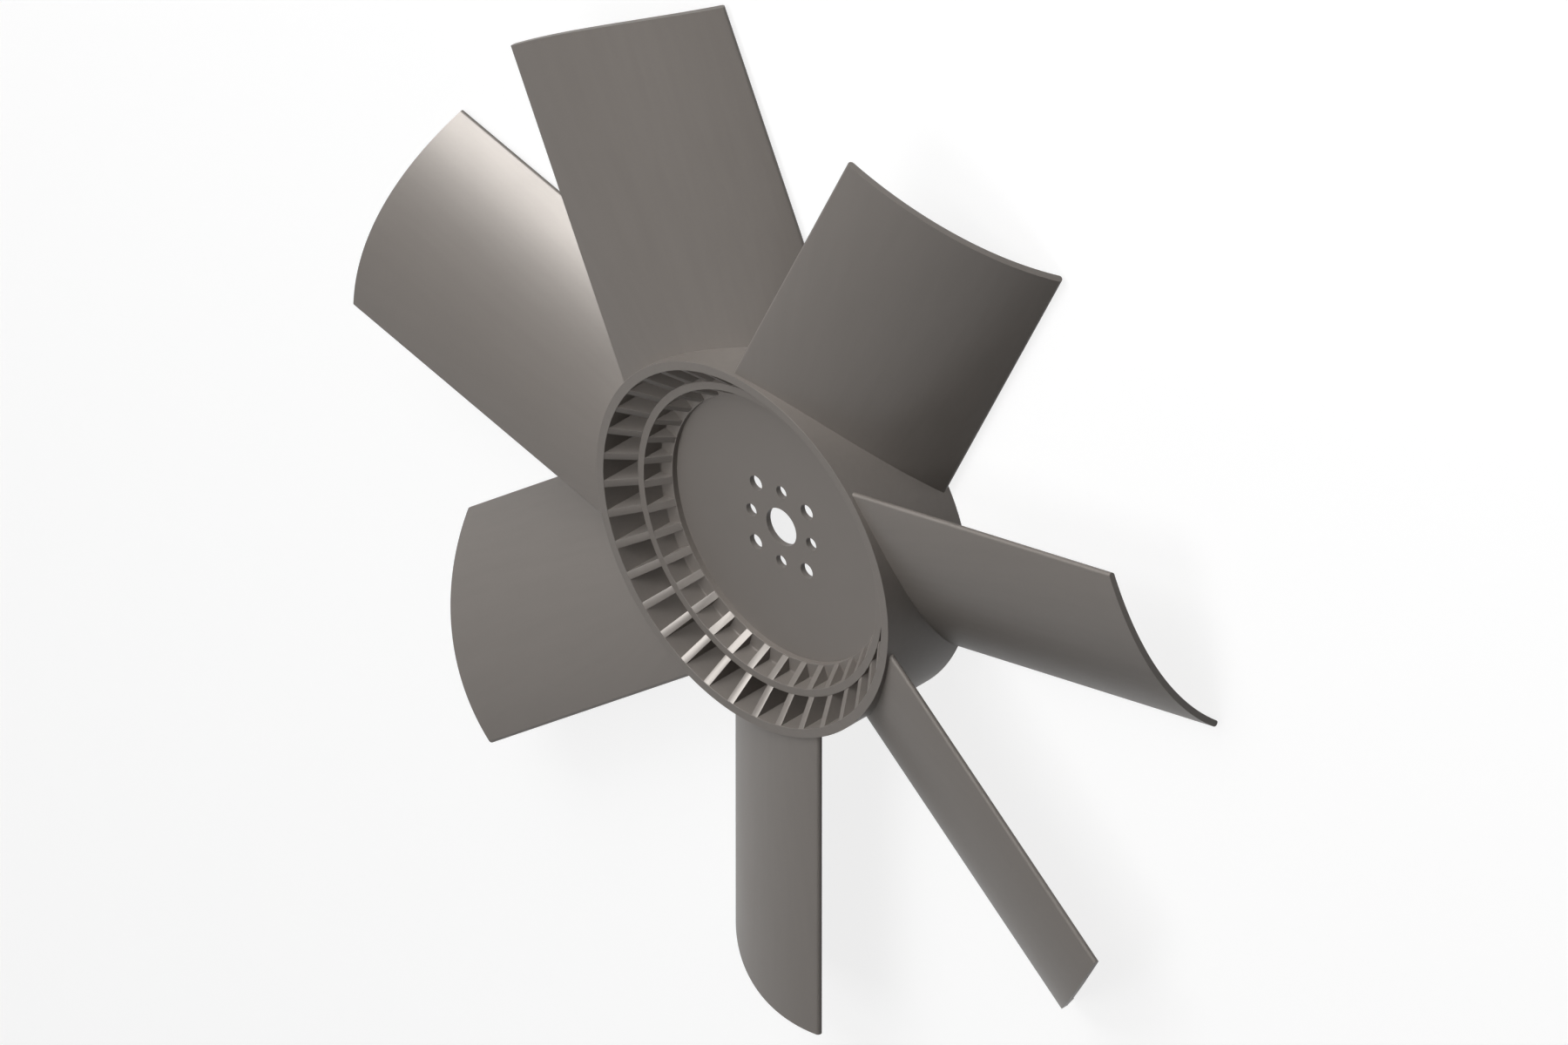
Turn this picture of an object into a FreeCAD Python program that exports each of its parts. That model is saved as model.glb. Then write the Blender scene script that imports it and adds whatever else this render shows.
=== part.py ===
"""Axial fan impeller: a ribbed hub with seven cambered blades, moulded round a steel centre plate.

All lengths are in millimetres. The origin is the centre of the pilot bore on the front face of
the plate, +Z is the axis of the fan towards its ribbed front, and one blade points to -Y.
"""
import FreeCAD
import Part
import Sketcher
import math
import os

doc = FreeCAD.newDocument("AxialFanImpeller")

# Driving dimensions. Each can be set by itself.
sizes = {
    # Overall
    "tip_diameter": 660.0,
    "hub_diameter": 244.5,
    "hub_depth": 68.7,
    "front_rim_height": 33.1,
    # Walls and pockets of the hub, from the outside inwards
    "rim_wall": 6.0,
    "outer_pocket_width": 14.0,
    "ring_wall": 5.0,
    "inner_pocket_width": 9.75,
    "ring_height": 14.3,
    # Ribs, which cross both rows of pockets and fall from the rim to the edge of the recess
    "rib_count": 36,
    "rib_thickness": 4.9,
    "rib_foot_land": 0.3,
    # Covers of the web, which hold the edge of the plate from both sides
    "front_cover": 3.8,
    "rear_cover": 2.7,
    # Blades. The chord joins the centres of the two round edges, and the camber is the rise of the
    # middle line above it. The lag is how far the middle of the chord lies behind the blade's radius.
    "blade_count": 7,
    "blade_thickness": 4.0,
    "blade_chord": 139.2,
    "blade_camber": 15.4,
    "blade_stagger": 25.4,
    "blade_lag": 2.9,
    # Centre plate, with a pilot bore and two rings of bolt holes
    "plate_thickness": 3.6,
    "plate_capture": 12.5,
    "plate_clearance": 0.1,
    "bore_diameter": 25.0,
    "bolt_count": 4,
    "wide_bolt_circle": 60.0,
    "wide_bolt_hole": 10.0,
    "narrow_bolt_circle": 50.0,
    "narrow_bolt_hole": 8.4,
    # Slots in the held edge of the plate, which keys of the moulding fill so that it can't slip
    "key_count": 6,
    "key_slot_width": 12.0,
    "key_slot_depth": 6.0,
}

# Values that follow from the driving dimensions. Heights are along Z from the front of the plate.
worked = {
    "tip_radius": "Sizes.tip_diameter / 2",
    "hub_radius": "Sizes.hub_diameter / 2",
    "rim_inner_radius": "hub_radius - Sizes.rim_wall",
    "ring_outer_radius": "rim_inner_radius - Sizes.outer_pocket_width",
    "ring_inner_radius": "ring_outer_radius - Sizes.ring_wall",
    "recess_radius": "ring_inner_radius - Sizes.inner_pocket_width",
    "rear_rim_height": "Sizes.front_rim_height - Sizes.hub_depth",
    "hub_middle_height": "Sizes.front_rim_height - Sizes.hub_depth / 2",
    "web_front_height": "Sizes.front_cover",
    "web_rear_height": "-(Sizes.plate_thickness + Sizes.rear_cover)",
    "ring_front_height": "web_front_height + Sizes.ring_height",
    "ring_rear_height": "web_rear_height - Sizes.ring_height",
    "half_chord": "Sizes.blade_chord / 2",
    "camber_radius": "(half_chord ^ 2 + Sizes.blade_camber ^ 2) / (2 * Sizes.blade_camber)",
    "camber_centre_height": "Sizes.blade_camber - camber_radius",
    "blade_reach": "tip_radius + Sizes.blade_thickness",
    "trim_radius": "tip_radius + Sizes.blade_chord",
    "trim_length": "Sizes.hub_depth + 2 * Sizes.blade_chord",
    "cavity_front_height": "Sizes.front_rim_height + Sizes.blade_chord",
    "cavity_rear_height": "rear_rim_height - Sizes.blade_chord",
    "rib_turn": "180 / Sizes.rib_count",
    "rib_foot_radius": "recess_radius + Sizes.rib_foot_land",
    "rib_root_radius": "rim_inner_radius + Sizes.rim_wall / 2",
    "plate_radius": "recess_radius + Sizes.plate_capture",
    "seat_radius": "plate_radius + Sizes.plate_clearance",
    "key_slot_foot": "plate_radius - Sizes.key_slot_depth",
    "key_slot_mouth": "plate_radius + Sizes.key_slot_depth",
    "key_slot_half_width": "Sizes.key_slot_width / 2",
    "key_foot": "key_slot_foot + Sizes.plate_clearance",
    "key_root": "seat_radius + Sizes.key_slot_depth",
    "key_half_width": "key_slot_half_width - Sizes.plate_clearance",
    "bore_radius": "Sizes.bore_diameter / 2",
    "bolt_turn": "180 / Sizes.bolt_count",
    "wide_circle_radius": "Sizes.wide_bolt_circle / 2",
    "wide_hole_radius": "Sizes.wide_bolt_hole / 2",
    "narrow_circle_radius": "Sizes.narrow_bolt_circle / 2",
    "narrow_hole_radius": "Sizes.narrow_bolt_hole / 2",
}


def fill_sheet(name, rows, prefix):
    """Make a sheet with one named row for each entry."""
    sheet = doc.addObject("Spreadsheet::Sheet", name)
    for row, (alias, content) in enumerate(rows.items(), start=1):
        sheet.set(f"A{row}", alias)
        sheet.set(f"B{row}", f"{prefix}{content}")
        sheet.setAlias(f"B{row}", alias)
    return sheet


size_sheet = fill_sheet("Sizes", sizes, "")
worked_sheet = fill_sheet("Worked", worked, "=")
doc.recompute()


def value(name):
    """The number that a named size holds, from either sheet."""
    sheet = size_sheet if name in sizes else worked_sheet
    return float(getattr(sheet, name))


def cell(name):
    """The same size as an expression, which keeps an object bound to it."""
    sheet = size_sheet if name in sizes else worked_sheet
    return f"{sheet.Name}.{name}"


def new_body(label):
    body = doc.addObject("PartDesign::Body", label)
    body.Label = label
    return body


def origin_feature(body, role):
    """One of the body's own base planes or axes."""
    for feature in body.Origin.OriginFeatures:
        if feature.Role == role:
            return feature
    raise ValueError(f"{body.Label} has no {role}")


def new_sketch(body, name, plane, turn_axis=None, turn_name=None):
    """A sketch on a base plane, which may be turned about one of its own axes by a named angle."""
    sketch = body.newObject("Sketcher::SketchObject", name)
    sketch.AttachmentSupport = [(origin_feature(body, plane), "")]
    sketch.MapMode = "FlatFace"
    if turn_name:
        turn = FreeCAD.Rotation(turn_axis, value(turn_name))
        sketch.AttachmentOffset = FreeCAD.Placement(FreeCAD.Vector(), turn)
        sketch.setExpression("AttachmentOffset.Rotation.Angle", cell(turn_name))
    return sketch


def bind(sketch, constraint, name):
    """Add a measured constraint and bind it to a named size."""
    index = sketch.addConstraint(constraint)
    sketch.setExpression(f"Constraints[{index}]", cell(name))


def add_circle(sketch, radius_name, centre_name=None):
    """A circle round the origin, or with its centre out along the sketch's horizontal axis."""
    start = value(centre_name) if centre_name else 0.0
    circle = Part.Circle(FreeCAD.Vector(start, 0, 0), FreeCAD.Vector(0, 0, 1), value(radius_name))
    index = sketch.addGeometry(circle, False)
    if centre_name:
        sketch.addConstraint(Sketcher.Constraint("PointOnObject", index, 3, -1))
        bind(sketch, Sketcher.Constraint("DistanceX", -1, 1, index, 3, start), centre_name)
    else:
        sketch.addConstraint(Sketcher.Constraint("Coincident", index, 3, -1, 1))
    bind(sketch, Sketcher.Constraint("Radius", index, value(radius_name)), radius_name)


def add_outline(sketch, corners):
    """A closed outline. Each corner is the names of its radius, or None on the axis, and its height."""
    points = [
        FreeCAD.Vector(value(across) if across else 0.0, value(along), 0)
        for across, along in corners
    ]
    lines = [
        sketch.addGeometry(Part.LineSegment(start, end), False)
        for start, end in zip(points, points[1:] + points[:1])
    ]
    for line, following in zip(lines, lines[1:] + lines[:1]):
        sketch.addConstraint(Sketcher.Constraint("Coincident", line, 2, following, 1))
    for line, point, (across, along) in zip(lines, points, corners):
        if across:
            bind(sketch, Sketcher.Constraint("DistanceX", -1, 1, line, 1, point.x), across)
        else:
            sketch.addConstraint(Sketcher.Constraint("PointOnObject", line, 1, -2))
        bind(sketch, Sketcher.Constraint("DistanceY", -1, 1, line, 1, point.y), along)


def add_block(sketch, near_name, far_name, half_width_name):
    """A rectangle astride the sketch's horizontal axis, between two distances along it."""
    near = value(near_name)
    far = value(far_name)
    half_width = value(half_width_name)
    corners = [
        FreeCAD.Vector(near, -half_width, 0),
        FreeCAD.Vector(far, -half_width, 0),
        FreeCAD.Vector(far, half_width, 0),
        FreeCAD.Vector(near, half_width, 0),
    ]
    lines = [
        sketch.addGeometry(Part.LineSegment(start, end), False)
        for start, end in zip(corners, corners[1:] + corners[:1])
    ]
    low, end_line, high, near_line = lines
    for line, following in zip(lines, lines[1:] + lines[:1]):
        sketch.addConstraint(Sketcher.Constraint("Coincident", line, 2, following, 1))
    sketch.addConstraint([
        Sketcher.Constraint("Horizontal", low),
        Sketcher.Constraint("Horizontal", high),
        Sketcher.Constraint("Vertical", near_line),
        Sketcher.Constraint("Symmetric", end_line, 1, end_line, 2, -1),
    ])
    bind(sketch, Sketcher.Constraint("DistanceX", -1, 1, near_line, 1, near), near_name)
    bind(sketch, Sketcher.Constraint("DistanceX", -1, 1, end_line, 1, far), far_name)
    bind(sketch, Sketcher.Constraint("DistanceY", -1, 1, high, 1, half_width), half_width_name)


def solid_volume(body):
    """The body's volume so far, which is nothing before its first solid feature."""
    return 0.0 if body.Shape.isNull() else body.Shape.Volume


def add_pad(body, name, sketch, length_name, reverse=False, both_ways=False):
    """Material grown out of a sketch, or to both sides of it."""
    volume = solid_volume(body)
    pad = body.newObject("PartDesign::Pad", name)
    pad.Profile = sketch
    pad.SideType = "Symmetric" if both_ways else "One side"
    pad.Reversed = reverse
    pad.setExpression("Length", cell(length_name))
    doc.recompute()
    if solid_volume(body) <= volume:
        raise ValueError(f"{name} adds nothing")
    return pad


def add_pocket(body, name, sketch, length_name, both_ways=False):
    """Material cut away behind a sketch, or to both sides of it."""
    volume = solid_volume(body)
    pocket = body.newObject("PartDesign::Pocket", name)
    pocket.Profile = sketch
    pocket.SideType = "Symmetric" if both_ways else "One side"
    pocket.setExpression("Length", cell(length_name))
    doc.recompute()
    if solid_volume(body) >= volume:
        raise ValueError(f"{name} cuts nothing")
    return pocket


def add_turned(body, name, kind, sketch):
    """A full turn of a sketch about the axis of the fan, as material or as a cut."""
    turned = body.newObject(f"PartDesign::{kind}", name)
    turned.Profile = sketch
    turned.ReferenceAxis = (sketch, ["V_Axis"])
    turned.Angle = 360
    doc.recompute()
    return turned


def add_pattern(body, name, feature, count_name):
    """One feature repeated evenly round the axis of the fan."""
    pattern = body.newObject("PartDesign::PolarPattern", name)
    pattern.Originals = [feature]
    pattern.Axis = (origin_feature(body, "Z_Axis"), [""])
    pattern.Angle = 360
    pattern.setExpression("Occurrences", cell(count_name))
    body.Tip = pattern
    doc.recompute()
    return pattern


# Moulding: it starts as a solid drum, so that the blades can grow out of it.
moulding = new_body("moulded_impeller")

drum_sketch = new_sketch(moulding, "DrumSection", "XZ_Plane")
add_outline(drum_sketch, [
    (None, "front_rim_height"),
    ("hub_radius", "front_rim_height"),
    ("hub_radius", "rear_rim_height"),
    (None, "rear_rim_height"),
])
add_turned(moulding, "HubDrum", "Revolution", drum_sketch)

# Blade section: two skins on arcs with one centre, joined by round edges. The sketch lies along the
# chord, halfway down the hub and set back by the lag, and is turned by the stagger.
across_chord = FreeCAD.Vector(0, 0, 1)
blade_sketch = new_sketch(moulding, "BladeSection", "XZ_Plane", across_chord, "blade_stagger")
blade_sketch.setExpression("AttachmentOffset.Base.x", f"-{cell('blade_lag')}")
blade_sketch.setExpression("AttachmentOffset.Base.y", cell("hub_middle_height"))

half_chord = value("half_chord")
half_thickness = value("blade_thickness") / 2
camber_radius = value("camber_radius")
camber_centre = FreeCAD.Vector(0, value("camber_centre_height"), 0)
half_bend = math.asin(half_chord / camber_radius)
quarter = math.pi / 2


def add_blade_arc(centre, radius, start, end):
    circle = Part.Circle(centre, across_chord, radius)
    return blade_sketch.addGeometry(Part.ArcOfCircle(circle, start, end), False)


front_skin = add_blade_arc(
    camber_centre, camber_radius + half_thickness, quarter - half_bend, quarter + half_bend)
rear_skin = add_blade_arc(
    camber_centre, camber_radius - half_thickness, quarter - half_bend, quarter + half_bend)
front_edge = add_blade_arc(
    FreeCAD.Vector(half_chord, 0, 0), half_thickness, -quarter - half_bend, quarter - half_bend)
rear_edge = add_blade_arc(
    FreeCAD.Vector(-half_chord, 0, 0), half_thickness, quarter + half_bend, 3 * quarter + half_bend)
blade_sketch.addConstraint([
    Sketcher.Constraint("Coincident", front_skin, 3, rear_skin, 3),
    Sketcher.Constraint("PointOnObject", front_skin, 3, -2),
    Sketcher.Constraint("PointOnObject", front_edge, 3, -1),
    Sketcher.Constraint("PointOnObject", rear_edge, 3, -1),
    Sketcher.Constraint("Tangent", front_skin, 1, front_edge, 2),
    Sketcher.Constraint("Tangent", front_skin, 2, rear_edge, 1),
    Sketcher.Constraint("Tangent", rear_skin, 1, front_edge, 1),
    Sketcher.Constraint("Tangent", rear_skin, 2, rear_edge, 2),
])
bind(blade_sketch, Sketcher.Constraint("DistanceX", -1, 1, front_edge, 3, half_chord), "half_chord")
bind(blade_sketch, Sketcher.Constraint("DistanceY", -1, 1, front_skin, 3, camber_centre.y),
     "camber_centre_height")
bind(blade_sketch, Sketcher.Constraint("Diameter", front_edge, 2 * half_thickness), "blade_thickness")

blade = add_pad(moulding, "Blade", blade_sketch, "blade_reach")
add_pattern(moulding, "Blades", blade, "blade_count")

# Blade tips: all of them are cut to one cylinder.
tip_sketch = new_sketch(moulding, "TipCircle", "XY_Plane")
add_circle(tip_sketch, "tip_radius")
add_circle(tip_sketch, "trim_radius")
add_pocket(moulding, "TipTrim", tip_sketch, "trim_length", both_ways=True)

# Hub cavities: two rows of pockets in front and two behind, on both sides of one web, and the
# recess through the middle. The cut runs on past both rims, so that no blade is left inside.
cavity_sketch = new_sketch(moulding, "CavitySection", "XZ_Plane")
add_outline(cavity_sketch, [
    (None, "cavity_front_height"),
    ("rim_inner_radius", "cavity_front_height"),
    ("rim_inner_radius", "web_front_height"),
    ("ring_outer_radius", "web_front_height"),
    ("ring_outer_radius", "ring_front_height"),
    ("ring_inner_radius", "ring_front_height"),
    ("ring_inner_radius", "web_front_height"),
    ("recess_radius", "web_front_height"),
    ("recess_radius", "web_rear_height"),
    ("ring_inner_radius", "web_rear_height"),
    ("ring_inner_radius", "ring_rear_height"),
    ("ring_outer_radius", "ring_rear_height"),
    ("ring_outer_radius", "web_rear_height"),
    ("rim_inner_radius", "web_rear_height"),
    ("rim_inner_radius", "cavity_rear_height"),
    (None, "cavity_rear_height"),
])
volume_with_blades = solid_volume(moulding)
add_turned(moulding, "Cavities", "Groove", cavity_sketch)
if solid_volume(moulding) >= volume_with_blades:
    raise ValueError("Cavities cut nothing")

# Ribs: one flat rib stands across the web, the ring and the pockets, and its root is in the rim.
rib_sketch = new_sketch(moulding, "RibProfile", "XZ_Plane", FreeCAD.Vector(0, 1, 0), "rib_turn")
add_outline(rib_sketch, [
    ("rib_foot_radius", "web_front_height"),
    ("ring_inner_radius", "ring_front_height"),
    ("ring_outer_radius", "ring_front_height"),
    ("rim_inner_radius", "front_rim_height"),
    ("rib_root_radius", "front_rim_height"),
    ("rib_root_radius", "rear_rim_height"),
    ("rim_inner_radius", "rear_rim_height"),
    ("ring_outer_radius", "ring_rear_height"),
    ("ring_inner_radius", "ring_rear_height"),
    ("rib_foot_radius", "web_rear_height"),
])
rib = add_pad(moulding, "Rib", rib_sketch, "rib_thickness", both_ways=True)
add_pattern(moulding, "Ribs", rib, "rib_count")

# Seat of the plate inside the web, with the keys that fill the slots in the edge of the plate.
seat_sketch = new_sketch(moulding, "PlateSeat", "XY_Plane")
add_circle(seat_sketch, "seat_radius")
add_pocket(moulding, "Seat", seat_sketch, "plate_thickness")

key_sketch = new_sketch(moulding, "KeyOutline", "XY_Plane")
add_block(key_sketch, "key_foot", "key_root", "key_half_width")
key = add_pad(moulding, "Key", key_sketch, "plate_thickness", reverse=True)
add_pattern(moulding, "Keys", key, "key_count")

# Centre plate: a flat blank, holed at its middle and on two bolt circles, and slotted along its edge.
plate = new_body("steel_centre_plate")

blank_sketch = new_sketch(plate, "PlateBlank", "XY_Plane")
add_circle(blank_sketch, "plate_radius")
add_circle(blank_sketch, "bore_radius")
add_pad(plate, "Blank", blank_sketch, "plate_thickness", reverse=True)

around_axis = FreeCAD.Vector(0, 0, 1)
hole_rings = {
    "WideBolt": ("wide_hole_radius", "wide_circle_radius", "bolt_turn"),
    "NarrowBolt": ("narrow_hole_radius", "narrow_circle_radius", None),
}
for name, (radius_name, circle_name, turn_name) in hole_rings.items():
    hole_sketch = new_sketch(plate, f"{name}Circle", "XY_Plane", around_axis, turn_name)
    add_circle(hole_sketch, radius_name, circle_name)
    hole = add_pocket(plate, f"{name}Hole", hole_sketch, "plate_thickness")
    add_pattern(plate, f"{name}Holes", hole, "bolt_count")

slot_sketch = new_sketch(plate, "KeySlotOutline", "XY_Plane")
add_block(slot_sketch, "key_slot_foot", "key_slot_mouth", "key_slot_half_width")
slot = add_pocket(plate, "KeySlot", slot_sketch, "plate_thickness")
add_pattern(plate, "KeySlots", slot, "key_count")

doc.recompute()
for item in doc.Objects:
    if "Invalid" in item.State or "Error" in item.State:
        raise ValueError(f"{item.Name} failed: {item.State}")

os.makedirs("parts", exist_ok=True)
for body in (moulding, plate):
    shape = body.Shape
    if shape.isNull() or not shape.isValid():
        raise ValueError(f"{body.Label} has no valid shape")
    if len(shape.Solids) != 1:
        raise ValueError(f"{body.Label} has {len(shape.Solids)} solids")
    shape.exportStep(f"parts/{body.Label}.step")
    print(f"{body.Label}: {shape.Volume:.0f} mm3, {len(shape.Faces)} faces")
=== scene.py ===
import math

import bmesh
import bpy
from mathutils import Matrix, Vector


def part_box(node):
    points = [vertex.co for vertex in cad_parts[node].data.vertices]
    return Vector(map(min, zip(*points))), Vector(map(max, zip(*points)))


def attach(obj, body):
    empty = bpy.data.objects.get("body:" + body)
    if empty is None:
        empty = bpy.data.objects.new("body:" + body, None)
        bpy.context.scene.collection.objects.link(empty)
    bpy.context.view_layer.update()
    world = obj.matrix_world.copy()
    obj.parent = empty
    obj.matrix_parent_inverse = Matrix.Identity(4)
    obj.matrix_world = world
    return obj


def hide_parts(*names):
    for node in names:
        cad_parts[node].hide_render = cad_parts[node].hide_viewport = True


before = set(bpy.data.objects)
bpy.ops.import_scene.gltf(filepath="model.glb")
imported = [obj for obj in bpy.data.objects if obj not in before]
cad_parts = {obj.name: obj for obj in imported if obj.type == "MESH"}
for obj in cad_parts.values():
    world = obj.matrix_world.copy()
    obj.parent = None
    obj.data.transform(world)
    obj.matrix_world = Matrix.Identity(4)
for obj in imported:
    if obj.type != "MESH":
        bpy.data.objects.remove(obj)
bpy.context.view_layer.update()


# Hub: the middle of the one-piece moulding of dark grey glass-filled nylon. A rim and a middle
# ring stand on both sides of a web at mid-depth, and the web is open round the centre plate.
MM = 0.001
HUB_RADIUS = 122.25 * MM
RIM_WALL = 6 * MM
OUTER_POCKET_WIDTH = 14 * MM
RING_WALL = 5 * MM
RING_HEIGHT = 14.3 * MM
INNER_POCKET_WIDTH = 9.75 * MM
FRONT_COVER = 3.8 * MM
HUB_STEPS = 288
MOULD_EDGE = 0.25 * MM
POCKET_FILLET = 0.7 * MM
ROUNDING_STEPS = 2
PLACE_TOLERANCE = 0.01 * MM

rear_rim, front_rim = (corner.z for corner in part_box("moulded_impeller"))
hub_middle = (front_rim + rear_rim) / 2
rim_inner_radius = HUB_RADIUS - RIM_WALL
ring_outer_radius = rim_inner_radius - OUTER_POCKET_WIDTH
ring_inner_radius = ring_outer_radius - RING_WALL
recess_radius = ring_inner_radius - INNER_POCKET_WIDTH
rim_rise = front_rim - hub_middle
web_rise = FRONT_COVER - hub_middle
ring_rise = web_rise + RING_HEIGHT


def select_only(piece):
    bpy.ops.object.select_all(action="DESELECT")
    piece.select_set(True)
    bpy.context.view_layer.objects.active = piece


def open_mesh(piece, kind):
    """Open only this piece for editing, with nothing picked."""
    select_only(piece)
    bpy.ops.object.mode_set(mode="EDIT")
    bpy.ops.mesh.select_mode(type=kind)
    bpy.ops.mesh.select_all(action="DESELECT")


def close_mesh():
    """Turn every face outwards and end the editing."""
    bpy.ops.mesh.select_all(action="SELECT")
    bpy.ops.mesh.normals_make_consistent(inside=False)
    bpy.ops.object.mode_set(mode="OBJECT")


def pick_edges(piece, wanted):
    """Pick the edges of the open piece that have both ends where the test accepts them."""
    mesh = bmesh.from_edit_mesh(piece.data)
    for edge in mesh.edges:
        edge.select_set(all(wanted(vertex.co) for vertex in edge.verts))
    bmesh.update_edit_mesh(piece.data)


def on_circle(point, radius, rise):
    """Whether a point is on one of the two circles at that distance from the middle of the hub."""
    return (
        abs(point.xy.length - radius) < PLACE_TOLERANCE
        and abs(abs(point.z - hub_middle) - rise) < PLACE_TOLERANCE
    )


def push(distance):
    """Extrude what is picked along the axis of the fan."""
    bpy.ops.mesh.extrude_region_move(TRANSFORM_OT_translate={"value": (0, 0, distance)})


bpy.ops.object.select_all(action="DESELECT")
bpy.ops.mesh.primitive_cylinder_add(
    vertices=HUB_STEPS, radius=HUB_RADIUS, depth=2 * rim_rise, location=(0, 0, hub_middle))
impeller = bpy.context.object
impeller.name = "moulded_fan"
bpy.ops.object.transform_apply()
open_mesh(impeller, "FACE")
for outwards in (1, -1):
    mesh = bmesh.from_edit_mesh(impeller.data)
    for face in mesh.faces:
        face.select_set(face.normal.z * outwards > 0.9)
    bmesh.update_edit_mesh(impeller.data)
    bpy.ops.mesh.inset(thickness=RIM_WALL)
    push(outwards * (web_rise - rim_rise))
    bpy.ops.mesh.inset(thickness=OUTER_POCKET_WIDTH)
    push(outwards * RING_HEIGHT)
    bpy.ops.mesh.inset(thickness=RING_WALL)
    push(-outwards * RING_HEIGHT)
    bpy.ops.mesh.inset(thickness=INNER_POCKET_WIDTH)
    bpy.ops.mesh.delete(type="FACE")

bpy.ops.mesh.select_mode(type="EDGE")
pick_edges(impeller, lambda point: on_circle(point, recess_radius, web_rise))
bpy.ops.mesh.bridge_edge_loops()
corners = {
    (HUB_RADIUS, rim_rise): MOULD_EDGE,
    (rim_inner_radius, rim_rise): MOULD_EDGE,
    (rim_inner_radius, web_rise): POCKET_FILLET,
    (ring_outer_radius, web_rise): POCKET_FILLET,
    (ring_outer_radius, ring_rise): MOULD_EDGE,
    (ring_inner_radius, ring_rise): MOULD_EDGE,
    (ring_inner_radius, web_rise): POCKET_FILLET,
    (recess_radius, web_rise): MOULD_EDGE,
}
for (radius, rise), rounding in corners.items():
    pick_edges(impeller, lambda point: on_circle(point, radius, rise))
    bpy.ops.mesh.bevel(offset=rounding, segments=ROUNDING_STEPS)
close_mesh()


# Blades: seven thin curved plates with full round edges, moulded in one with the hub rim. Each
# is a flat strip swung about the axis of its camber, and its tip is cut to the fan's circle, a hair
# inside the 330 mm of the solid.
BLADE_COUNT = 7
BLADE_THICKNESS = 4 * MM
BLADE_CHORD = 139.2 * MM
BLADE_CAMBER = 15.4 * MM
BLADE_STAGGER = math.radians(25.4)
BLADE_LAG = 2.9 * MM
TIP_RADIUS = 329.98 * MM
CHORD_STEPS = 72
TIP_STEPS = 720
EDGE_STEPS = 8
FULL_ROUND = 0.495
SWING_TOLERANCE = 0.001

half_chord = BLADE_CHORD / 2
camber_radius = (half_chord ** 2 + BLADE_CAMBER ** 2) / (2 * BLADE_CAMBER)
axis_drop = camber_radius - BLADE_CAMBER
camber_axis = Vector((
    axis_drop * math.sin(BLADE_STAGGER) - BLADE_LAG,
    0,
    hub_middle - axis_drop * math.cos(BLADE_STAGGER),
))
half_swing = math.asin(half_chord / camber_radius) + BLADE_THICKNESS / 2 / camber_radius
root_radius = HUB_RADIUS - RIM_WALL / 2
strip_start = root_radius - half_chord / 2
strip_end = TIP_RADIUS + BLADE_THICKNESS
cutter_depth = 4 * rim_rise


def combine(piece, operation, other):
    """Join another piece to this one, cut it away, or keep only what both fill."""
    modifier = piece.modifiers.new(operation, "BOOLEAN")
    modifier.operation = operation
    modifier.solver = "EXACT"
    modifier.object = other
    bpy.context.view_layer.objects.active = piece
    bpy.ops.object.modifier_apply(modifier=modifier.name)
    bpy.data.objects.remove(other)


def round_tool(radius, depth, steps, height):
    """A plain cylinder round the axis of the fan, to cut or trim with."""
    bpy.ops.object.select_all(action="DESELECT")
    bpy.ops.mesh.primitive_cylinder_add(
        vertices=steps, radius=radius, depth=depth, location=(0, 0, height))
    bpy.ops.object.transform_apply()
    return bpy.context.object


def ring_of(piece, count, first_turn):
    """Copies of one piece, evenly round the axis of the fan, joined as one mesh."""
    copies = [piece]
    for index in range(1, count):
        extra = piece.copy()
        extra.data = piece.data.copy()
        bpy.context.collection.objects.link(extra)
        copies.append(extra)
    bpy.ops.object.select_all(action="DESELECT")
    for index, one in enumerate(copies):
        one.rotation_euler.z = first_turn + index * math.tau / count
        one.select_set(True)
    bpy.context.view_layer.objects.active = piece
    bpy.ops.object.join()
    bpy.ops.object.transform_apply()
    return piece


bpy.ops.object.select_all(action="DESELECT")
bpy.ops.mesh.primitive_plane_add(
    size=1,
    location=(camber_axis.x, -(strip_start + strip_end) / 2, camber_axis.z + camber_radius),
    rotation=(0, math.pi / 2, 0))
blade = bpy.context.object
blade.scale = (BLADE_THICKNESS, strip_end - strip_start, 1)
bpy.ops.object.transform_apply()
open_mesh(blade, "EDGE")
bpy.ops.mesh.select_all(action="SELECT")
bpy.ops.transform.rotate(
    value=half_swing + BLADE_STAGGER, orient_axis="Y", center_override=camber_axis)
bpy.ops.mesh.spin(
    steps=CHORD_STEPS, angle=-2 * half_swing, center=camber_axis, axis=(0, 1, 0))
close_mesh()
open_mesh(blade, "EDGE")


def at_strip_end(point):
    """Whether a point is on the first or last place of the swung strip."""
    across = point - camber_axis
    swing = math.atan2(across.x, across.z) + BLADE_STAGGER
    return abs(abs(swing) - half_swing) < SWING_TOLERANCE


mesh = bmesh.from_edit_mesh(blade.data)
for edge in mesh.edges:
    start, end = (vertex.co for vertex in edge.verts)
    edge.select_set(at_strip_end(start) and at_strip_end(end) and abs(start.y - end.y) > half_chord)
bmesh.update_edit_mesh(blade.data)
bpy.ops.mesh.bevel(offset=FULL_ROUND * BLADE_THICKNESS, segments=EDGE_STEPS)
close_mesh()
combine(blade, "INTERSECT", round_tool(TIP_RADIUS, cutter_depth, TIP_STEPS, hub_middle))
combine(blade, "DIFFERENCE", round_tool(root_radius, cutter_depth, HUB_STEPS, hub_middle))
combine(impeller, "UNION", ring_of(blade, BLADE_COUNT, 0))


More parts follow.
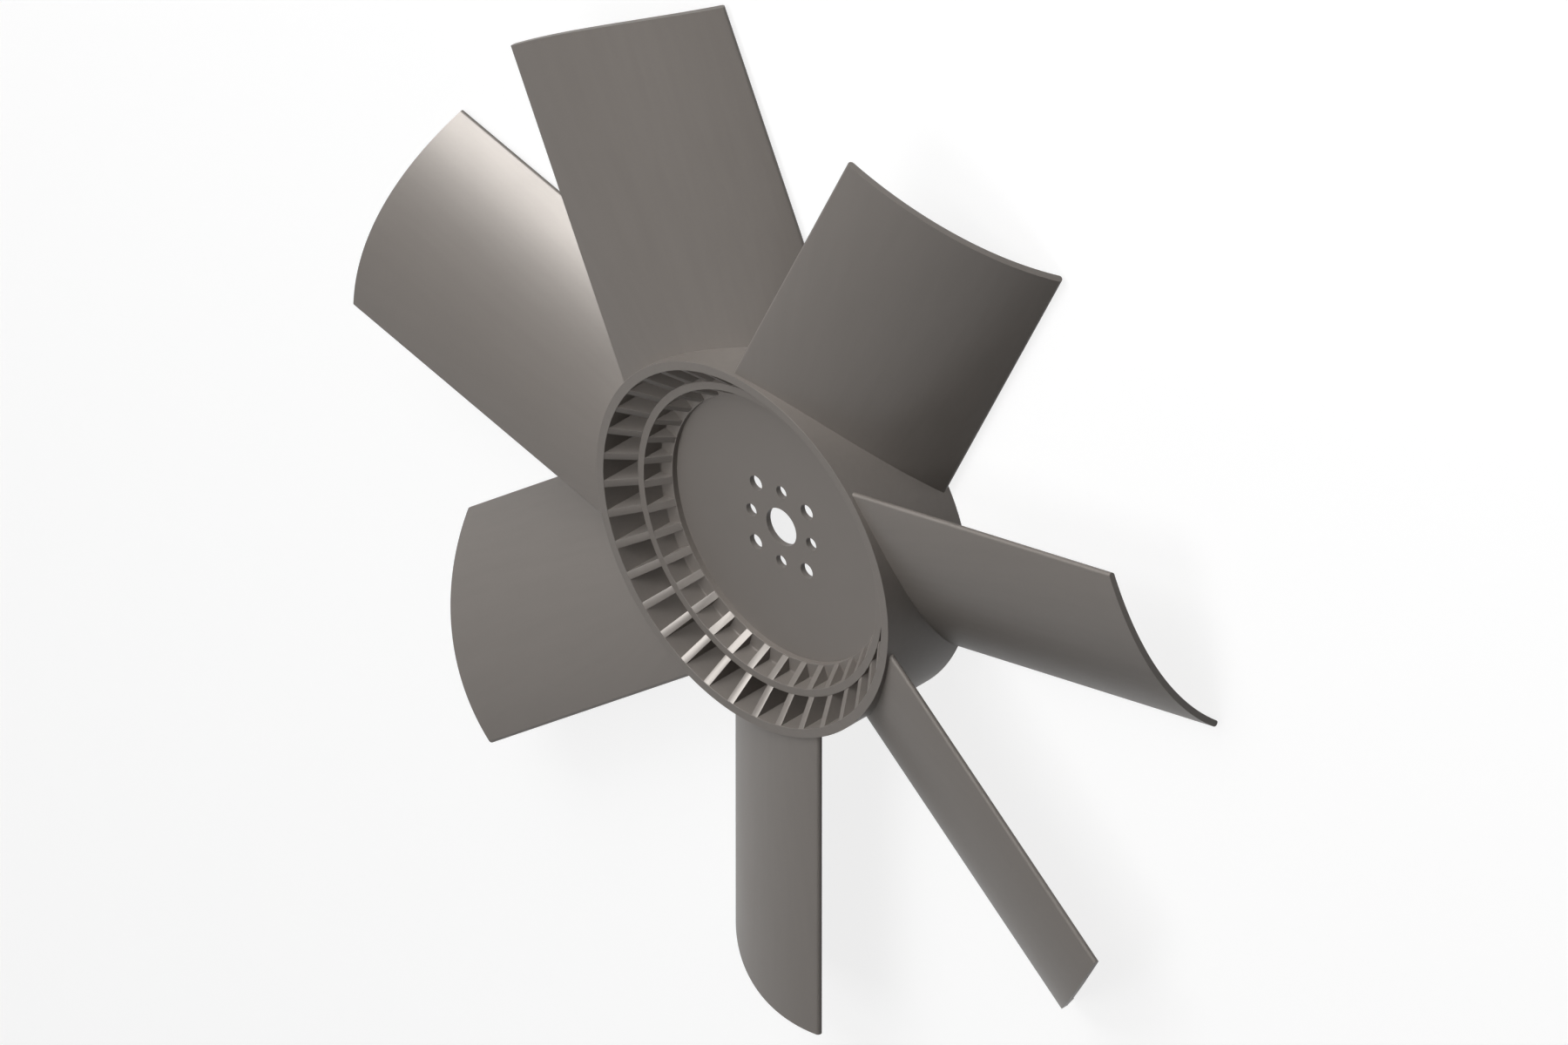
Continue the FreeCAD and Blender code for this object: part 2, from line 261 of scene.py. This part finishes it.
# Ribs: 36 thin flat ribs in the moulding, each one straight through the rim, the ring and the
# web. Its edges slope from rim to ring and from ring to recess, in front and behind alike.
RIB_COUNT = 36
RIB_THICKNESS = 4.9 * MM
RIB_FOOT_LAND = 0.3 * MM
RIB_DROP = 0.3 * MM
RIB_EDGE = 0.12 * MM
CORNER_ANGLE = math.radians(60)

rib_end_rise = rim_rise - RIB_DROP
rib_stations = [
    (rim_inner_radius, rib_end_rise),
    (ring_outer_radius, ring_rise - RIB_DROP),
    (ring_inner_radius, ring_rise - RIB_DROP),
    (recess_radius + RIB_FOOT_LAND, web_rise - RIB_DROP),
]


def round_corners(piece, width):
    """Round the sharp corners all over a finished piece."""
    modifier = piece.modifiers.new("Corners", "BEVEL")
    modifier.width = width
    modifier.segments = ROUNDING_STEPS
    modifier.angle_limit = CORNER_ANGLE
    select_only(piece)
    bpy.ops.object.modifier_apply(modifier=modifier.name)


bpy.ops.object.select_all(action="DESELECT")
bpy.ops.mesh.primitive_plane_add(
    size=1, location=(root_radius, 0, hub_middle), rotation=(0, math.pi / 2, 0))
rib = bpy.context.object
rib.scale = (2 * rib_end_rise, RIB_THICKNESS, 1)
bpy.ops.object.transform_apply()
open_mesh(rib, "FACE")
bpy.ops.mesh.select_all(action="SELECT")
here = root_radius
height = rib_end_rise
for radius, rise in rib_stations:
    bpy.ops.mesh.extrude_region_move(TRANSFORM_OT_translate={"value": (radius - here, 0, 0)})
    bpy.ops.transform.resize(value=(1, 1, rise / height), center_override=(0, 0, hub_middle))
    here = radius
    height = rise
close_mesh()
round_corners(rib, RIB_EDGE)
combine(impeller, "UNION", ring_of(rib, RIB_COUNT, math.pi / RIB_COUNT))


# Seat of the centre plate: the plate's edge was laid in the mould and the nylon closed round it.
# The web grips it between two covers, and six keys of nylon fill the slots in its edge.
PLATE_THICKNESS = 3.6 * MM
PLATE_CAPTURE = 12.5 * MM
PLATE_CLEARANCE = 0.1 * MM
KEY_COUNT = 6
KEY_SLOT_WIDTH = 12 * MM
KEY_SLOT_DEPTH = 6 * MM

plate_radius = recess_radius + PLATE_CAPTURE
plate_middle = -PLATE_THICKNESS / 2


def key_ring(foot, width):
    """Six blocks across the edge of the plate, from the given radius out past the edge."""
    bpy.ops.object.select_all(action="DESELECT")
    bpy.ops.mesh.primitive_cube_add(
        size=1, location=(foot + KEY_SLOT_DEPTH, 0, plate_middle))
    block = bpy.context.object
    block.scale = (2 * KEY_SLOT_DEPTH, width, 2 * PLATE_THICKNESS)
    bpy.ops.object.transform_apply()
    return ring_of(block, KEY_COUNT, 0)


seat = round_tool(plate_radius + PLATE_CLEARANCE, PLATE_THICKNESS, HUB_STEPS, plate_middle)
key_foot = plate_radius - KEY_SLOT_DEPTH
key_width = KEY_SLOT_WIDTH - 2 * PLATE_CLEARANCE
combine(seat, "DIFFERENCE", key_ring(key_foot + PLATE_CLEARANCE, key_width))
combine(impeller, "DIFFERENCE", seat)


# Finish of the moulding: satin nylon as it leaves the mould, a warm dark grey with a fine grain,
# faint streaks along the flow from hub to tip, and slightly glossier patches.
NYLON_COLOUR = (0.152, 0.137, 0.124, 1)
NYLON_STREAK = (0.176, 0.159, 0.145, 1)
SATIN_GLOSS = 0.3
SKIN_RELIEF = 0.04 * MM
SMOOTH_ANGLE = math.radians(20)


class Shade:
    """One output of a material's nodes. Sums on it add Math nodes, and node() adds any other."""

    def __init__(self, tree, socket=None):
        self.tree = tree
        self.socket = socket

    def node(self, kind, settings, sockets, output=0):
        """Add a node: its settings first, then the values or links of its sockets."""
        made = self.tree.nodes.new(kind)
        for name, setting in settings.items():
            setattr(made, name, setting)
        for name, given in sockets.items():
            if isinstance(given, Shade):
                self.tree.links.new(given.socket, made.inputs[name])
            else:
                made.inputs[name].default_value = given
        return Shade(self.tree, made.outputs[output] if made.outputs else None)

    def maths(self, operation, first, second):
        return self.node("ShaderNodeMath", {"operation": operation}, {0: first, 1: second})

    def __add__(self, other):
        return self.maths("ADD", self, other)

    def __radd__(self, other):
        return self.maths("ADD", other, self)

    def __sub__(self, other):
        return self.maths("SUBTRACT", self, other)

    def __rsub__(self, other):
        return self.maths("SUBTRACT", other, self)

    def __mul__(self, other):
        return self.maths("MULTIPLY", self, other)

    def __rmul__(self, other):
        return self.maths("MULTIPLY", other, self)


def new_material(name):
    """A material with no nodes yet, and a first Shade to build its nodes from."""
    material = bpy.data.materials.new(name)
    material.use_nodes = True
    material.node_tree.nodes.clear()
    return material, Shade(material.node_tree)


def finish_material(start, sockets):
    """A Principled surface with these sockets, joined to the output."""
    surface = start.node("ShaderNodeBsdfPrincipled", {}, sockets)
    start.node("ShaderNodeOutputMaterial", {}, {"Surface": surface})


def noise(place, scale, detail):
    """Soft random patches on a place, with the given number of them to a metre."""
    return place.node("ShaderNodeTexNoise", {}, {"Vector": place, "Scale": scale, "Detail": detail})


def vector_maths(operation, *vectors):
    """Vector maths on a place, alone or with a second vector."""
    sockets = dict(enumerate(vectors))
    return vectors[0].node("ShaderNodeVectorMath", {"operation": operation}, sockets)


nylon, start = new_material("satin_nylon")
place = start.node("ShaderNodeTexCoord", {}, {}, "Object")
outward = vector_maths("NORMALIZE", vector_maths("MULTIPLY", place, (1, 1, 0)))
stretched = vector_maths("MULTIPLY", place, (0.6, 0.6, 14))
flow_place = vector_maths("ADD", outward, stretched)
streaks = noise(flow_place, 22, 3)
patches = noise(place, 26, 2)
grain = noise(place, 1500, 2)
speckle = noise(place, 700, 1)
tone = streaks * 0.7 + patches * 0.3 + (speckle - 0.5) * 0.25
colour = start.node(
    "ShaderNodeMix", {"data_type": "RGBA"}, {0: tone, 6: NYLON_COLOUR, 7: NYLON_STREAK}, 2)
relief = grain * 0.4 + speckle * 0.6
bump = start.node(
    "ShaderNodeBump", {}, {"Strength": 0.25, "Distance": SKIN_RELIEF, "Height": relief})
finish_material(start, {
    "Base Color": colour,
    "Roughness": 0.42 + patches * 0.06 + (grain - 0.5) * 0.08,
    "Specular IOR Level": SATIN_GLOSS,
    "Normal": bump,
})
impeller.data.materials.clear()
impeller.data.materials.append(nylon)
select_only(impeller)
bpy.ops.object.shade_smooth_by_angle(angle=SMOOTH_ANGLE)
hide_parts("moulded_impeller")
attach(impeller, "root")


# Centre plate: a flat disc stamped from steel sheet, with a pilot bore, two rings of four bolt
# holes and six slots in its edge, deburred and coated in satin dark grey before it is moulded in.
PILOT_BORE = 25 * MM
BOLT_COUNT = 4
WIDE_BOLT_CIRCLE = 60 * MM
WIDE_BOLT_HOLE = 10 * MM
NARROW_BOLT_CIRCLE = 50 * MM
NARROW_BOLT_HOLE = 8.4 * MM
BORE_STEPS = 96
HOLE_STEPS = 48
PLATE_EDGE = 0.06 * MM
STEEL_COAT = (0.156, 0.141, 0.128, 1)
STEEL_COAT_THIN = (0.170, 0.154, 0.141, 1)

punch_depth = 2 * PLATE_THICKNESS
plate = round_tool(plate_radius, PLATE_THICKNESS, HUB_STEPS, plate_middle)
plate.name = "coated_centre_plate"
combine(plate, "DIFFERENCE", round_tool(PILOT_BORE / 2, punch_depth, BORE_STEPS, plate_middle))
for circle, hole, turn in (
    (WIDE_BOLT_CIRCLE, WIDE_BOLT_HOLE, math.pi / BOLT_COUNT),
    (NARROW_BOLT_CIRCLE, NARROW_BOLT_HOLE, 0),
):
    punch = round_tool(hole / 2, punch_depth, HOLE_STEPS, plate_middle)
    punch.location.x = circle / 2
    bpy.ops.object.transform_apply()
    combine(plate, "DIFFERENCE", ring_of(punch, BOLT_COUNT, turn))
combine(plate, "DIFFERENCE", key_ring(key_foot, KEY_SLOT_WIDTH))
round_corners(plate, PLATE_EDGE)
bpy.ops.object.shade_smooth_by_angle(angle=SMOOTH_ANGLE)

steel, start = new_material("coated_steel")
place = start.node("ShaderNodeTexCoord", {}, {}, "Object")
peel = noise(place, 620, 1)
film = noise(place, 30, 3)
colour = start.node(
    "ShaderNodeMix", {"data_type": "RGBA"}, {0: film, 6: STEEL_COAT, 7: STEEL_COAT_THIN}, 2)
bump = start.node("ShaderNodeBump", {}, {"Strength": 0.2, "Distance": SKIN_RELIEF, "Height": peel})
finish_material(start, {
    "Base Color": colour,
    "Roughness": 0.42 + film * 0.06,
    "Specular IOR Level": SATIN_GLOSS,
    "Normal": bump,
})
plate.data.materials.clear()
plate.data.materials.append(steel)
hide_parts("steel_centre_plate")
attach(plate, "root")


# Floor: a plain pale floor under the fan, which lies on its rear rim. Part of what it shows to the
# camera and in reflections is a glow, so it looks white and still keeps a soft shadow of the fan.
FLOOR_SIZE = 60
FLOOR_COLOUR = (0.36, 0.36, 0.36, 1)
FLOOR_GLOW = 0.72
FLOOR_GAP = 0.2 * MM


def shown_rays(start):
    """1 for light on its way to the camera, straight, mirrored or passed through, and 0 for the rest."""
    rays = ("Is Camera Ray", "Is Glossy Ray", "Is Transmission Ray")
    seen, mirrored, passed = (start.node("ShaderNodeLightPath", {}, {}, ray) for ray in rays)
    return seen + mirrored + passed


bpy.ops.object.select_all(action="DESELECT")
bpy.ops.mesh.primitive_plane_add(size=FLOOR_SIZE, location=(0, 0, rear_rim - FLOOR_GAP))
floor = bpy.context.object
floor.name = "floor"
floor_material, start = new_material("pale_floor")
glow = start.node("ShaderNodeEmission", {}, {"Strength": shown_rays(start) * FLOOR_GLOW})
matt = start.node("ShaderNodeBsdfDiffuse", {}, {"Color": FLOOR_COLOUR})
pale = start.node("ShaderNodeAddShader", {}, {0: glow, 1: matt})
start.node("ShaderNodeOutputMaterial", {}, {"Surface": pale})
floor.data.materials.append(floor_material)


# Light: a large soft key lamp behind and above, which casts no shadow, a weak one overhead and a
# little light from all round. The glint lamp shows only in reflections, as the soft highlight,
# and the other two don't show in them. The background shows white.
WORLD_LEVEL = 0.07
LAMPS = {
    "key": {"direction": Vector((-0.07, 0.81, 0.58)), "size": 3, "level": 0.92},
    "overhead": {"direction": Vector((0, 0.15, 1)), "size": 2, "level": 0.13},
    "glint": {"direction": Vector((-0.17, 0.79, 0.58)), "size": 1.4, "level": 5.2},
}
GLINT_COLOUR = (1, 0.94, 0.88)
LAMP_DISTANCE = 4


def soft_lamp(name, direction, size, level):
    """A square lamp aimed at the fan. A white surface that faces it shows the level."""
    place = direction.normalized() * LAMP_DISTANCE
    bpy.ops.object.light_add(type="AREA", location=place)
    lamp = bpy.context.object
    lamp.name = name
    lamp.data.size = size
    lamp.data.energy = level * math.pi * (math.pi * LAMP_DISTANCE ** 2 + size ** 2)
    lamp.rotation_euler = place.to_track_quat("Z", "Y").to_euler()
    return lamp


lamps = {name: soft_lamp(name, **settings) for name, settings in LAMPS.items()}
for name, lamp in lamps.items():
    lamp.visible_glossy = name == "glint"
    lamp.visible_diffuse = name != "glint"
    lamp.data.use_shadow = name != "key"
lamps["glint"].data.color = GLINT_COLOUR
world = bpy.data.worlds.new("studio")
world.use_nodes = True
world.node_tree.nodes.clear()
start = Shade(world.node_tree)
sky = start.node("ShaderNodeBackground", {}, {
    "Color": (1, 1, 1, 1),
    "Strength": shown_rays(start) * (1 - WORLD_LEVEL) + WORLD_LEVEL,
})
start.node("ShaderNodeOutputWorld", {}, {"Surface": sky})
bpy.context.scene.world = world
bpy.context.scene.view_settings.view_transform = "Standard"


# Camera: far off with a long lens, turned from all three axes alike, so that the fan is seen in an
# isometric view, with one blade straight down and its front to the right.
SENSOR_WIDTH = 36
LENS = 1100
VIEW_WIDTH = 928.1 * MM
AIM_RIGHT = 1.63 * MM
AIM_UP = 2.72 * MM

right = Vector((1, 0, -1)).normalized()
up = Vector((-1, 2, -1)).normalized()
towards_camera = Vector((1, 1, 1)).normalized()
distance = VIEW_WIDTH * LENS / SENSOR_WIDTH
bpy.ops.object.camera_add()
camera = bpy.context.object
camera.data.sensor_width = SENSOR_WIDTH
camera.data.lens = LENS
camera.data.clip_start = distance / 10
camera.data.clip_end = distance * 4
axes = Matrix((right, up, towards_camera)).transposed().to_4x4()
axes.translation = right * AIM_RIGHT + up * AIM_UP + towards_camera * distance
camera.matrix_world = axes
bpy.context.scene.camera = camera
